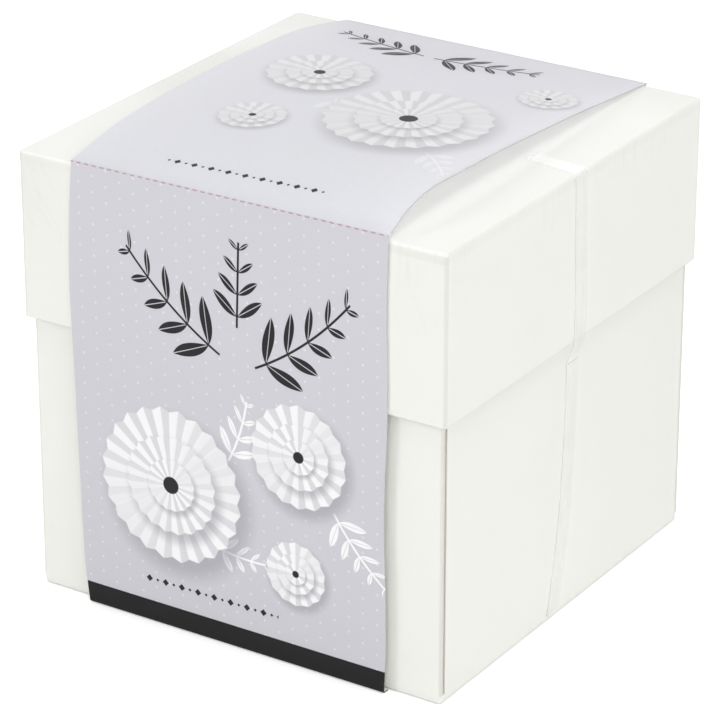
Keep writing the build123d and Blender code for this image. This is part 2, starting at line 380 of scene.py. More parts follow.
def base_board():
    """Covered board: a pressed score above the floor, a painted contact shadow at the foot and the foot
    darker towards the floor, painted shade on the upright corners by the slits, and bare cut ends at the
    slits, which are found by the way the surface faces."""
    m = new_material("base_board")
    place, (x, y, z) = m.object_place()
    facing_x, facing_y, _ = (abs(n) for n in m.object_normal())
    inside = BASE_FACE - BASE_BOARD
    end_x = facing_x.above(0.7, 0.2) * abs(y).above(inside - 0.1, 0.1)
    end_y = facing_y.above(0.7, 0.2) * abs(x).above(inside - 0.1, 0.1) * abs(y).below(inside - 0.3, 0.2)
    # Painted shade on the upright corners by the slits
    corner = (abs(x) + abs(y)).above(2 * BASE_FACE - 0.5, 0.4) * z.above(FLOOR_TOP, 0.6)
    score = abs(z - (FLOOR_TOP + SCORE_RISE)).below(0.25, 0.3)

    colour = m.mix(m.noise(place, 0.03, 3.0), CARD_CLOUD, CARD_WHITE)
    # The foot is darker towards the floor and carries a painted contact shadow
    colour = m.marked(colour,
                      (z.below(FOOT_HEIGHT, 2.4) * 0.35, CARD_WORN_AND_SHADE),
                      (z.below(CONTACT_SHADE_HEIGHT, 0.4) * 0.8, CARD_CONTACT_SHADE),
                      (end_x.math("MAXIMUM", end_y) * z.above(FLOOR_TOP, 0.4) * 0.9, CARD_CUT),
                      (corner * 0.7, CARD_WORN_AND_SHADE),
                      (abs(x).math("MAXIMUM", abs(y)).below(inside + 0.25, 0.2) * 0.25, PAPER_BACK))
    height = m.noise(place, 0.015, 2.0) * 2.0 - score * 0.3
    return m.finish(card_surface(m, place, colour, height, 0.45))


def layer_card(name, thin_axis, cloud, light, fleck_share):
    """Uncoated card with a linen emboss on its faces and a cream core on its cut edges."""
    m = new_material(name)
    place, _ = m.object_place()
    face = abs(m.object_normal()[thin_axis]).above(0.6, 0.3)
    fleck = m.noise(place, 1.1, 3.0, 0.7).above(0.64, 0.05)
    colour = m.mix(m.noise(place, 0.05, 3.0), cloud, light)
    colour = m.marked(colour, (fleck * fleck_share, CREAM_FLECK), (1 - face, CARD_CORE))
    weave = m.noise(place, (4.2, 4.2, 0.5), 2.0) + m.noise(place, (0.5, 0.5, 4.2), 2.0)
    return m.finish(card_surface(m, place, colour, weave * 0.8 * face, 0.62))


def gift_card():
    """Pearly gift box card with a fine diagonal emboss and softly rubbed upright corners."""
    m = new_material("gift_card")
    place, (x, y, z) = m.object_place()
    corner = (abs(x) + abs(y)).above(2 * GIFT_HALF - 3.0, 1.2)
    grain = abs((x + y + z * 1.3) % 0.9 - 0.45)
    colour = m.mix(m.noise(place, 0.06, 3.0), PEARL_CLOUD, PEARL_WHITE)
    colour = m.mix(corner * 0.4, colour, CARD_WORN_AND_SHADE)
    height = grain * 1.2 + m.noise(place, 0.8, 2.0) * 0.5
    return m.finish(card_surface(m, place, colour, height, 0.34, 0.25))


# The print on the paper sleeve: folded paper rosettes and leaf sprigs on cool grey

# In a print, x is millimetres across from the panel's middle, and t is millimetres along it from its
# lower or front end
BAR_HEIGHT = 5.95
DASH_DROP = 0.2
DASH_PITCH = 2.23
DASH_SHARE = 0.55
DOT_PITCH = 4.0
LOZENGE_PITCH = 2.4
LOZENGE_HALF = 0.95
SMALL_LOZENGE_HALF = 0.45
# Each rosette is a stack of three: size as a share of the lowest, and how many pleats fewer it has
ROSETTE_STACK = ((1.0, 0), (0.64, 4), (0.34, 8))
BUTTON_SHARE = 0.11
# The printed light falls on the rosettes from this angle, and their shadow lies off their middle by
# these shares of the radius
LIGHT_TURN = math.radians(125)
SHADOW_X, SHADOW_T = 0.10, -0.13

# Rosettes: place, radius and number of pleats
FRONT_ROSETTES = (((-17, 39), 20.5, 24), ((20, 56), 13.5, 18), ((19, 25), 8.5, 14))
TOP_ROSETTES = (((14, 58), 21, 24), ((-22, 74), 13.5, 18), ((-19, 40), 8.5, 14), ((33, 92), 7.5, 14))
BACK_ROSETTES = (((0, 62), 16, 20),)
# Sprigs: place, turn in degrees, length, length of a leaf, bend, and whether it is dark
FRONT_SPRIGS = (((8, 76), 28, 33, 11.5, 0.006, True), ((-2, 77), 152, 33, 11.5, -0.006, True),
                ((3, 85), 88, 21, 9.0, 0.0, True), ((0, 50), 62, 17, 7.5, 0.01, False),
                ((-4, 26), -12, 14, 6.5, 0.01, False), ((30, 44), -58, 21, 7.5, 0.008, False))
TOP_SPRIGS = (((-6, 102), 8, 27, 9.0, 0.004, True), ((-9, 102), 176, 27, 9.0, -0.004, True),
              ((-8, 60), -62, 17, 7.5, 0.01, False), ((30, 40), -35, 16, 7.0, -0.01, False))
BACK_SPRIGS = (((14, 62), 0, 24, 9.0, 0.0, True), ((-14, 62), 180, 24, 9.0, 0.0, True))
# Rows of lozenges: middle across, half length and height
FRONT_ROW = (-6, 20, 12)
TOP_ROW = (0, 22, 9)
BACK_ROW = (0, 20, 12)


def distance(a, b):
    """Root of the sum of the two squares."""
    return (a * a + b * b).math("SQRT")


def rosette(m, ink, x, t, place, radius, pleats):
    """Round of folded paper. The angle round its middle, cut into pleats, gives each pleat a light and a
    dark side that change over with the angle to the light; the rim is a zigzag, and a soft disc behind
    is its shadow."""
    a = x - place[0]
    b = t - place[1]
    far = distance(a, b)
    pleat = (b.math("ARCTAN2", a) * (pleats / (2 * math.pi))).math("FRACT")
    ridge = abs(pleat - 0.5) * 2
    to_light = (a * math.cos(LIGHT_TURN) + b * math.sin(LIGHT_TURN)) / (far + 0.01)
    lit = (pleat.above(0.5, 0.1) * 2 - 1) * to_light * 0.5 + 0.5
    shadow = distance(a - radius * SHADOW_X, b - radius * SHADOW_T).below(radius * 1.02, radius * 0.34)
    paper = m.mix(lit * far.above(radius * 0.1, radius * 0.5), PAPER_SHADE, PAPER_LIGHT)
    paper = m.mix(ridge.above(0.93, 0.08) * 0.5, paper, PAPER_LIGHT)
    round_edge = (far + ridge * (radius * 0.055)).below(radius, 0.3)
    return m.marked(ink, (shadow * 0.62, PRINT_SHADOW), (round_edge, paper))


def sprig(m, ink, x, t, place, turn, length, leaf, bend, colour, vein):
    """Stem with paired leaves. With a along the stem and b across it, less the bend times a squared, the
    leaves stand in equal cells of a, slanted forward; at a share s of its length a leaf is as wide as
    s times (1 - s) allows, and leaf and stem taper to the tip."""
    cosine = math.cos(math.radians(turn))
    sine = math.sin(math.radians(turn))
    a = (x - place[0]) * cosine + (t - place[1]) * sine
    b = (t - place[1]) * cosine - (x - place[0]) * sine - a * a * bend
    pitch = leaf * 0.62
    side = abs(b)
    taper = (1.05 - a * (0.7 / length)).math("MAXIMUM", 0.2)
    share = side / (taper * leaf)
    slanted = a - side * 0.75
    from_axis = abs(slanted % pitch - pitch / 2)
    width = share * (1 - share) * taper * (leaf * 0.82)
    leaves = (from_axis - width).below(0, 0.16) * slanted.between(0, length, 0.2)
    stem = side.below(0.3, 0.16) * a.between(0, length * 1.02, 0.2)
    veins = leaves * from_axis.below(0.12, 0.12) * side.above(0.5, 0.3)
    return m.marked(ink, (leaves.math("MAXIMUM", stem), colour), (veins, vein))


def lozenges(m, ink, x, t, middle, half_length, height):
    """Row of small lozenges, every other one half as large: points whose distances across and along
    from a lozenge's middle add up to less than its half."""
    from_large = abs((x + LOZENGE_PITCH) % (LOZENGE_PITCH * 2) - LOZENGE_PITCH)
    from_small = abs(x % (LOZENGE_PITCH * 2) - LOZENGE_PITCH)
    up = abs(t - height)
    large = (from_large + up).below(LOZENGE_HALF, 0.2)
    small = (from_small + up).below(SMALL_LOZENGE_HALF, 0.2)
    shape = large.math("MAXIMUM", small) * abs(x - middle).below(half_length, 0.1)
    return m.mix(shape, ink, PRINT_CHARCOAL)


def printed_paper(name, low_tint, high_tint, length, rosettes, sprigs, row, upright=True, passing=0.0):
    """Semi-gloss print on paper, shaded along its length. An upright panel has the black bar at its foot
    and the dashed line under its fold. Paler ink lets more light through."""
    m = new_material(name)
    x, t = m.sheet_place()
    place, _ = m.object_place()
    rise = t * (0.75 / length) + m.noise(place, 0.018, 2.0) * 0.4
    dot_x = x % DOT_PITCH - DOT_PITCH / 2
    dot_t = (t + (x / DOT_PITCH).math("FLOOR") * (DOT_PITCH / 2)) % DOT_PITCH - DOT_PITCH / 2
    dots = (dot_x * dot_x + dot_t * dot_t).below(0.12, 0.12)
    ink = m.mix(rise.below(0.5, 1.0), high_tint, low_tint)
    ink = m.marked(ink, (m.noise(place, 3.2, 2.0) * 0.12, PAPER_LIGHT), (dots * 0.35, PAPER_LIGHT))
    for spot, turn, reach, leaf, bend, dark in sprigs:
        colours = (PRINT_CHARCOAL, PRINT_GREY) if dark else (PAPER_LIGHT, PAPER_SHADE)
        ink = sprig(m, ink, x, t, spot, turn, reach, leaf, bend, *colours)
    for spot, radius, pleats in rosettes:
        for size, fewer in ROSETTE_STACK:
            ink = rosette(m, ink, x, t, spot, radius * size, pleats - fewer)
        button = distance(x - spot[0], t - spot[1]).below(radius * BUTTON_SHARE, 0.25)
        ink = m.mix(button, ink, PRINT_CHARCOAL)
    ink = lozenges(m, ink, x, t, *row)
    if upright:
        dash = abs(t - (SLEEVE_FOLD - DASH_DROP)).below(0.17, 0.1)
        dash = dash * (x % DASH_PITCH).below(DASH_PITCH * DASH_SHARE, 0.2)
        ink = m.marked(ink, (t.below(BAR_HEIGHT, 0.25), PRINT_BLACK), (dash * 0.7, PRINT_RED))
    fibre = m.noise(place, 1.2, 4.0, 0.6)
    surface = m.surface(Base_Color=ink, Roughness=0.42 + 0.1 * fibre, Normal=m.bump(fibre, 0.12, 0.05),
                        Specular_IOR_Level=0.15)
    if passing:
        brightness = m.add("ShaderNodeRGBToBW", inputs=[ink])
        surface = m.let_through(surface, (brightness * 1.6).math("MINIMUM", 1.0) * passing)
    return m.finish(surface)


def paper_back(name, passing=0.0):
    """Bare back of the sleeve's paper."""
    m = new_material(name)
    place, _ = m.object_place()
    fibre = m.noise(place, 1.5, 4.0, 0.65)
    surface = m.surface(Base_Color=m.mix(fibre, PAPER_BACK_CLOUD, PAPER_BACK),
                        Roughness=0.6 + 0.15 * fibre, Normal=m.bump(fibre, 0.2, 0.05))
    return m.finish(m.let_through(surface, passing) if passing else surface)


# The cut edge of the top has painted shade to the right of this X and behind this Y
CUT_X, CUT_Y = 43.0, -59.5


def cut_paper():
    """Cut edge of the sleeve's top: painted shade, grey along its right side, like the print elsewhere.
    """
    m = new_material("cut_paper")
    place, (x, y, _) = m.object_place()
    fibre = m.noise(place, 1.5, 4.0, 0.65)
    # Painted shade: the cut edge is grey along the top's right side
    bare = x.above(CUT_X, 0.6) * y.above(CUT_Y, 0.6)
    colour = m.mix(bare, PRINT_GREY_TOP, m.mix(fibre, CUT_EDGE_SHADE_CLOUD, CUT_EDGE_SHADE))
    return m.finish(m.surface(Base_Color=colour, Roughness=0.6 + 0.15 * fibre, Specular_IOR_Level=0.15))


# Film and ribbon finishes

# The film's glare on the lid's top lies to the right of this X
GLARE_X = 45.0


def clear_film():
    """Thin clear film. On the sides one edge catches the light, and so do faint ripples that fade out
    towards the other edge; on the lid's top only a painted glare near its right edge does, a painted
    reflection."""
    m = new_material("clear_film")
    place, (x, _, z) = m.object_place()
    across, _ = m.strip_place()
    ripple = m.noise(place, (0.5, 0.5, 0.12), 2.0, 0.55)
    edge = across.below(0.05, 0.05) * z.below(LID_TOP - 0.5, 0.4)
    # Painted glare: a near-white colour and more cover, a painted reflection
    glare = z.above(LID_TOP - 0.2, 0.3) * across.between(0.08, 0.84, 0.2) * x.above(GLARE_X, 3.0)
    fade = across.below(0.84, 0.32) * z.below(LID_TOP - 0.3, 0.6)
    cover = (0.14 + 0.10 * ripple) * fade + 0.20 * edge + 0.40 * glare
    film = m.surface(Base_Color=m.marked(FILM_HAZE, (edge, FILM_EDGE), (glare, FILM_GLARE)),
                     Roughness=0.36 + 0.1 * ripple, Normal=m.bump(ripple, 0.15, 0.02),
                     Specular_IOR_Level=0.2)
    clear = m.add("ShaderNodeBsdfTransparent")
    return m.finish(m.blend(cover.math("MINIMUM", 0.9), clear, film))


def film_inside():
    """Inner side of the film, which only lets light through."""
    m = new_material("film_inside")
    place, _ = m.object_place()
    film = m.surface(Base_Color=FILM_BACK, Roughness=0.3)
    clear = m.add("ShaderNodeBsdfTransparent")
    return m.finish(m.blend(m.noise(place, 0.3, 2.0) * 0.02, clear, film))


def satin_ribbon():
    """Satin ribbon: fine ribs across it, a corded edge and a soft sheen."""
    m = new_material("satin_ribbon")
    across, along = m.strip_place()
    place, _ = m.object_place()
    ribs = abs(along % 0.42 - 0.21) * 4.7
    cord = abs(along % 0.7 - 0.35) * 2.8
    edge = abs(across - 0.5).above(0.46, 0.03)
    colour = m.mix(m.noise(place, 0.5, 2.0), SATIN_CLOUD, SATIN_WHITE)
    height = ribs * (1 - edge) * 0.5 + edge * (0.8 + cord * 0.7)
    return m.finish(m.surface(Base_Color=m.mix(edge * 0.4, colour, SATIN_EDGE),
                              Roughness=0.3 + 0.15 * ribs, Normal=m.bump(height, 0.5, 0.12),
                              Sheen_Weight=0.35, Sheen_Roughness=0.3, Specular_IOR_Level=0.5))


# Meshes of thin sheets

def put_mesh(name, points, faces, spots, slots, finishes, border):
    """Mesh piece from whole arrays: points in millimetres, UV spots per point, a slot per face. Edges
    with both ends on the border are sharp."""
    mesh = bpy.data.meshes.new(name)
    mesh.from_pydata((points * MM).tolist(), [], faces.tolist())
    layer = mesh.uv_layers.new(name="sheet")
    layer.data.foreach_set("uv", spots[faces.ravel()].astype(np.float32).ravel())
    mesh.polygons.foreach_set("material_index", slots.astype(np.int32))
    mesh.polygons.foreach_set("use_smooth", np.ones(len(faces), dtype=bool))
    ends = np.zeros(2 * len(mesh.edges), dtype=np.int32)
    mesh.edges.foreach_get("vertices", ends)
    sharp = mesh.attributes.new("sharp_edge", "BOOLEAN", "EDGE")
    sharp.data.foreach_set("value", border[ends.reshape(-1, 2)].all(axis=1))
    for finish in finishes:
        mesh.materials.append(finish)
    mesh.update()
    piece = bpy.data.objects.new(name, mesh)
    bpy.context.scene.collection.objects.link(piece)
    return piece


def thin_sheet(name, face, thickness, spots, finishes):
    """Closed sheet: a grid of points, the same grid moved back along its normals by the thickness,
    and a strip round the edge. The normal is the cross product of the steps across and along. The
    three finishes are those of the face, of the strip and of the back."""
    rows, columns, _ = face.shape
    normal = np.cross(np.gradient(face, axis=1), np.gradient(face, axis=0))
    normal /= np.linalg.norm(normal, axis=2, keepdims=True)
    points = np.concatenate([face.reshape(-1, 3), (face - normal * thickness).reshape(-1, 3)])
    count = rows * columns
    index = np.arange(count).reshape(rows, columns)
    front = np.stack([index[:-1, :-1], index[:-1, 1:], index[1:, 1:], index[1:, :-1]], axis=-1)
    front = front.reshape(-1, 4)
    loop = np.concatenate([index[0, :-1], index[:-1, -1], index[-1, :0:-1], index[:0:-1, 0]])
    after = np.roll(loop, -1)
    strip = np.stack([loop, loop + count, after + count, after], axis=-1)
    faces = np.concatenate([front, strip, front[:, ::-1] + count])
    slots = np.repeat([0, 1, 2], [len(front), len(strip), len(front)])
    border = np.zeros(2 * count, dtype=bool)
    border[loop] = True
    border[loop + count] = True
    spots = np.concatenate([spots.reshape(-1, 2)] * 2)
    return put_mesh(name, points, faces, spots, slots, finishes, border)


def fasten(piece, body, node):
    """Fasten a piece to its body; it stands in for its node, if any."""
    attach(piece, body)
    if node:
        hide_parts(node)


def eased(places, knots):
    """Cubic through the knots, pairs of place and value; a knot's slope is that of its neighbours."""
    knots, values = np.array(knots, dtype=float).T
    slopes = np.gradient(values, knots)
    cell = np.clip(np.searchsorted(knots, places) - 1, 0, len(knots) - 2)
    width = knots[cell + 1] - knots[cell]
    s = (places - knots[cell]) / width
    return ((1 + 2 * s) * (1 - s) ** 2 * values[cell] + s * (1 - s) ** 2 * width * slopes[cell]
            + s * s * (3 - 2 * s) * values[cell + 1] + s * s * (s - 1) * width * slopes[cell + 1])


def run_length(points):
    """Distance along a line of points, starting at 0."""
    steps = np.linalg.norm(np.diff(points, axis=0), axis=1)
    return np.concatenate([[0], np.cumsum(steps)])


def span_between(left, right, columns):
    """Grid of points on straight lines from the left edge curve to the right one."""
    share = np.linspace(0, 1, columns)[None, :, None]
    return left[:, None, :] * (1 - share) + right[:, None, :] * share


def sheet_spots(across, along):
    """UV of a sheet from millimetres across its middle and along it."""
    return np.stack([across / SHEET_SPAN + 0.5, along / SHEET_SPAN], axis=-1)


def strip_spots(across, along):
    """UV of a strip from the share of its width and from millimetres along it, for the whole grid."""
    across, along = np.broadcast_arrays(across[None, :], along)
    return np.stack([across, along / SHEET_SPAN], axis=-1)


# The paper sleeve; knots run from the front fold to the back fold, or from the hem up

SLEEVE_COLUMNS = 25
CROWN_ROWS = 91
PANEL_ROWS = 60
HEM_ROWS = 9
# Length of the top along its bow, for the shading of its print
TOP_LENGTH = 122.0
# The crowns give the height by Y, the sides of the uprights X by height, and those of the top X by Y
LEFT_CROWN = ((-60.4, 117.4), (-54.4, 118.3), (-40.6, 120.1), (-23.1, 121.1), (2.5, 121.65),
              (20.2, 121.45), (38.4, 120.6), (52.4, 118.4), (60.4, 116.85))
RIGHT_CROWN = ((-60.4, 117.95), (-57.2, 119.1), (-54.0, 120.5), (-50.0, 121.6), (-44.5, 122.5),
               (-38.0, 122.75), (-29.0, 122.4), (-11.0, 121.7), (7.4, 120.75), (26.6, 119.65),
               (46.5, 118.05), (60.4, 116.85))
LEFT_SIDE = ((0.0, -42.5), (8.5, -43.4), (33.0, -44.3), (65.0, -45.1), (86.0, -45.65), (104.0, -44.95),
             (116.85, -43.95))
RIGHT_SIDE = ((0.0, 43.8), (9.0, 44.2), (25.0, 44.15), (45.0, 43.7), (77.0, 44.6), (99.0, 44.3),
              (116.85, 44.8))
TOP_LEFT_SIDE = ((-60.4, -43.95), (-50.0, -44.6), (60.4, -44.8))
TOP_RIGHT_SIDE = ((-60.4, 44.8), (-52.0, 44.4), (60.4, 44.2))
# Heights of the front fold at the panel's left and right edge, a little proud of the lid
FRONT_FOLD = (117.4, 117.95)
# The hem: radius of its turn, height of its flat run, and how far off the base its first two points lie
HEM_RADIUS = 0.7
HEM_LOW = 0.1
HEM_INNER, HEM_OUTER = 0.15, 0.5


def sleeve_top(bare_paper):
    """Bowed top panel: two measured edge curves joined by straight lines. The rows follow the sine of
    even steps from the front to the back, so they lie closer near the folds."""
    y = SLEEVE_FACE * np.sin(np.linspace(-math.pi / 2, math.pi / 2, CROWN_ROWS))
    left = np.stack([eased(y, TOP_LEFT_SIDE), y, eased(y, LEFT_CROWN)], axis=-1)
    right = np.stack([eased(y, TOP_RIGHT_SIDE), y, eased(y, RIGHT_CROWN)], axis=-1)
    face = span_between(left, right, SLEEVE_COLUMNS)
    along = np.broadcast_to(run_length(face[:, SLEEVE_COLUMNS // 2])[:, None], face.shape[:2])
    print_finish = printed_paper("printed_top", PRINT_GREY_TOP, PRINT_GREY_TOP_BACK, TOP_LENGTH,
                                 TOP_ROSETTES, TOP_SPRIGS, TOP_ROW, upright=False, passing=PASS_TOP)
    piece = thin_sheet("sleeve_top_sheet", face, PAPER, sheet_spots(face[:, :, 0], along),
                       [print_finish, cut_paper(), bare_paper])
    fasten(piece, "sleeve", "sleeve_top")


def hem_profile():
    """Y and Z from the hem's inner end up: a short flat run outwards, a quarter circle and an upright."""
    turn = np.linspace(0, math.pi / 2, HEM_ROWS)
    y = np.concatenate([[-BASE_FACE - HEM_INNER, -BASE_FACE - HEM_OUTER],
                        -SLEEVE_FACE + HEM_RADIUS - HEM_RADIUS * np.sin(turn)])
    z = np.concatenate([[HEM_LOW, HEM_LOW], HEM_LOW + HEM_RADIUS - HEM_RADIUS * np.cos(turn)])
    rise = np.linspace(z[-1], SLEEVE_FOLD, PANEL_ROWS)[1:]
    return np.concatenate([y, np.full(len(rise), y[-1])]), np.concatenate([z, rise])


def sleeve_upright(name, node, hand, finish, bare_paper, folds):
    """Front panel, or the same turned half round for the back, with the hem turned under: the profile
    carried between two side curves. Its height grows with the fourth power of the share of the way up,
    so that each edge ends at its fold's height."""
    y, z = hem_profile()
    stretch = (z / SLEEVE_FOLD) ** 4
    left, right = (np.stack([eased(z, side), y, z + (fold - SLEEVE_FOLD) * stretch], axis=-1)
                   for side, fold in zip((LEFT_SIDE, RIGHT_SIDE), folds))
    face = span_between(left, right, SLEEVE_COLUMNS)
    spots = sheet_spots(face[:, :, 0], np.broadcast_to(z[:, None], face.shape[:2]))
    piece = thin_sheet(name, face * np.array([hand, hand, 1]), PAPER, spots, [finish, finish, bare_paper])
    fasten(piece, node, node)


def paper_sleeve():
    """The top and the two uprights, with the print of each."""
    bare_paper = paper_back("paper_back")
    sleeve_top(paper_back("paper_back_top", PASS_BARE))
    front = printed_paper("printed_front", PRINT_GREY_LOW, PRINT_GREY, SLEEVE_FOLD,
                          FRONT_ROSETTES, FRONT_SPRIGS, FRONT_ROW)
    sleeve_upright("sleeve_front_sheet", "sleeve_front", 1, front, bare_paper, FRONT_FOLD)
    back = printed_paper("printed_back", PRINT_GREY_LOW, PRINT_GREY, SLEEVE_FOLD,
                         BACK_ROSETTES, BACK_SPRIGS, BACK_ROW)
    sleeve_upright("sleeve_back_sheet", "sleeve_back", -1, back, bare_paper, (SLEEVE_FOLD, SLEEVE_FOLD))


# The clear film seam; knots give the film's middle along Y by height, or by X on the top

FILM_LIFT = 0.08
FILM_THICKNESS = 0.03
FILM_WIDTH = 6.2
FILM_COLUMNS = 7
FILM_TOP = ((-LID_FACE, 18.6), (LID_FACE, 0.6))
FILM_RIGHT = ((FLOOR_TOP, -5.6), (12.0, -3.5), (22.0, -1.6), (40.0, 0.2), (55.0, 1.1), (70.0, 1.2),
              (78.0, 1.5), (95.0, 1.2), (105.0, 0.8), (LID_TOP, 0.4))
FILM_LEFT = ((FLOOR_TOP, 15.0), (60.0, 17.5), (LID_TOP, 18.6))
# Radius of the film's bend at the lid's edges, and rows of the bend, the skirt, the bridge and the top
FILM_BEND = 0.8
BEND_ROWS, SKIRT_ROWS, BRIDGE_ROWS, TOP_ROWS = 7, 25, 9, 41
# How far the lid's film reaches down past its rim, and how far off the base it ends
FILM_BRIDGE = 6.5
BRIDGE_LIFT = 2.5 * FILM_LIFT
# The film on a wall: how far it starts below the crease, how far it goes up under the bridge, its rows
WALL_START = 0.7
WALL_LAP = 0.3
WALL_ROWS = 40


def film_strip(name, body, node, path, middle, hand, finishes):
    """Film carried along a path of (x, z) points, with its middle line at the given Y and its width
    along Y; hand is the way out in X."""
    columns = np.linspace(-0.5, 0.5, FILM_COLUMNS) * hand
    y = middle[:, None] + FILM_WIDTH * columns[None, :]
    x, z = (np.broadcast_to(path[:, i, None], y.shape) for i in (0, 1))
    face = np.stack([x, y, z], axis=-1)
    along = run_length(face[:, FILM_COLUMNS // 2])[:, None]
    piece = thin_sheet(name, face, FILM_THICKNESS, strip_spots(0.5 + hand * columns, along), finishes)
    piece.visible_shadow = False
    fasten(piece, body, node)


def film_over_lid(finishes):
    """From the left bridge at the rim up the skirt, over the top and down to the right bridge. Each side
    is a quarter circle, a straight skirt, and a bridge that moves in by a smooth step of its drop."""
    out = LID_FACE + FILM_LIFT
    bend = FILM_BEND
    turn = np.linspace(0, math.pi / 2, BEND_ROWS)
    drop = np.linspace(0, 1, BRIDGE_ROWS)[1:]
    ease = drop * drop * (3 - 2 * drop)
    skirt = np.linspace(LID_TOP - bend, LID_RIM, SKIRT_ROWS)[1:]
    side_x = np.concatenate([out - bend + bend * np.sin(turn), np.full(len(skirt), out),
                             out + (BASE_FACE + BRIDGE_LIFT - out) * ease])
    side_z = np.concatenate([LID_TOP + FILM_LIFT - bend + bend * np.cos(turn), skirt,
                             LID_RIM - FILM_BRIDGE * drop])
    top = np.linspace(-out + bend, out - bend, TOP_ROWS)[1:-1]
    path = np.concatenate([np.stack([-side_x, side_z], axis=-1)[::-1],
                           np.stack([top, np.full(len(top), LID_TOP + FILM_LIFT)], axis=-1),
                           np.stack([side_x, side_z], axis=-1)])
    x, z = path.T
    on_top = (np.abs(x) < LID_FACE - 0.3) & (z > LID_TOP - 1)
    on_side = np.where(x > 0, eased(z, FILM_RIGHT), eased(z, FILM_LEFT))
    middle = np.where(on_top, np.interp(x, *np.transpose(FILM_TOP)), on_side)
    film_strip("film_over_lid", "lid", "film_lid", path[::-1], middle[::-1], 1, finishes)


def film_on_wall(side, hand, knots, finishes):
    """Upright strip on a side wall, ending under the bridge of the lid's film."""
    z = np.linspace(FLOOR_TOP - WALL_START, LID_RIM - FILM_BRIDGE + WALL_LAP, WALL_ROWS)
    path = np.stack([np.full(WALL_ROWS, hand * (BASE_FACE + FILM_LIFT)), z], axis=-1)
    film_strip("film_on_wall_" + side, "base_wall_" + side, "film_wall_" + side, path,
               eased(z, knots), hand, finishes)


def film_seam():
    """The film over the lid and on the two side walls."""
    finishes = [clear_film()] + [film_inside()] * 2
    film_over_lid(finishes)
    film_on_wall("right", 1, FILM_RIGHT, finishes)
    film_on_wall("left", -1, FILM_LEFT, finishes)


# Ribbon and bow of the gift box; lengths are in millimetres

RIBBON_HALF = 4.5
RIBBON_COLUMNS = 9
# The ribbon's own thickness and how high its outer side lies, as shares of the room that the CAD has
RIBBON_SHARE = 0.8
RIBBON_LIFT = 0.85
# The lid's wrap: radius of its bends, rows of a bend, an upright and the top, and reach of its hump
WRAP_BEND = 0.9
WRAP_BEND_ROWS, WRAP_SIDE_ROWS, WRAP_TOP_ROWS = 6, 12, 61
HUMP_REACH = 5.5
# The bow's loops: inner end, half width there and what it grows by towards the outer end, and rows
LOOP_START = 1.2
LOOP_HALF, LOOP_WIDENING = 2.0, 2.4
LOOP_ROWS = 61
# The bow's tails: turn from the X axis, inner end, length, half width, notch, wave and rows
TAIL_TURN = math.radians(50)
TAIL_START = 2.0
TAIL_LENGTH = 28.0
TAIL_HALF = 3.4
TAIL_NOTCH = 2.6
TAIL_WAVE = 1.1
TAIL_ROWS = 41
# The bow's knot: half length along Y, thickness, length round it on the ribbon, and rows and columns
KNOT_LENGTH_HALF = 3.1
KNOT_THICKNESS = 0.3
KNOT_ROUND = 16.0
KNOT_ROWS, KNOT_COLUMNS = 49, 17


def ribbon_band(name, node, path, wide, satin):
    """Ribbon along a path of points, widened to each side by the given half-width vectors."""
    columns = np.linspace(-1, 1, RIBBON_COLUMNS)
    face = path[:, None, :] + wide[:, None, :] * columns[None, :, None]
    spots = strip_spots(0.5 + 0.5 * columns, run_length(path)[:, None])
    piece = thin_sheet(name, face, RIBBON * RIBBON_SHARE, spots, [satin] * 3)
    fasten(piece, "gift_lid", node)


def lid_wrap_path(lift):
    """Places out and up of a band: up one skirt, over the gift lid and down the other, with quarter
    circles at the corners. In the middle it rises by the lift, times e to minus the fourth power of
    the place over the hump's reach."""
    out = GIFT_HALF + RIBBON * RIBBON_LIFT
    high = GIFT_TOP + RIBBON * RIBBON_LIFT
    bend = WRAP_BEND
    turn = np.linspace(0, math.pi / 2, WRAP_BEND_ROWS)
    up = np.linspace(GIFT_RIM + 0.2, high - bend, WRAP_SIDE_ROWS)[:-1]
    over = np.linspace(-out + bend, out - bend, WRAP_TOP_ROWS)[1:-1]
    x = np.concatenate([np.full(len(up), -out), -out + bend - bend * np.cos(turn), over,
                        out - bend + bend * np.sin(turn), np.full(len(up), out)])
    z = np.concatenate([up, high - bend + bend * np.sin(turn), np.full(len(over), high),
                        high - bend + bend * np.cos(turn), up[::-1]])
    return x, z + lift * np.exp(-(x / HUMP_REACH) ** 4) * (z > high - 0.1)


def gift_ribbon(satin):
    """Two bands that cross under the bow; the second one rides over the first."""
    x, z = lid_wrap_path(0.0)
    zero = np.zeros_like(x)
    half = np.full_like(x, RIBBON_HALF)
    ribbon_band("ribbon_across", "ribbon_wrap", np.stack([x, zero, z], axis=-1),
                np.stack([zero, half, zero], axis=-1), satin)
    y, z = lid_wrap_path(RIBBON * 0.9)
    ribbon_band("ribbon_along", None, np.stack([zero, y, z], axis=-1),
                np.stack([-half, zero, zero], axis=-1), satin)


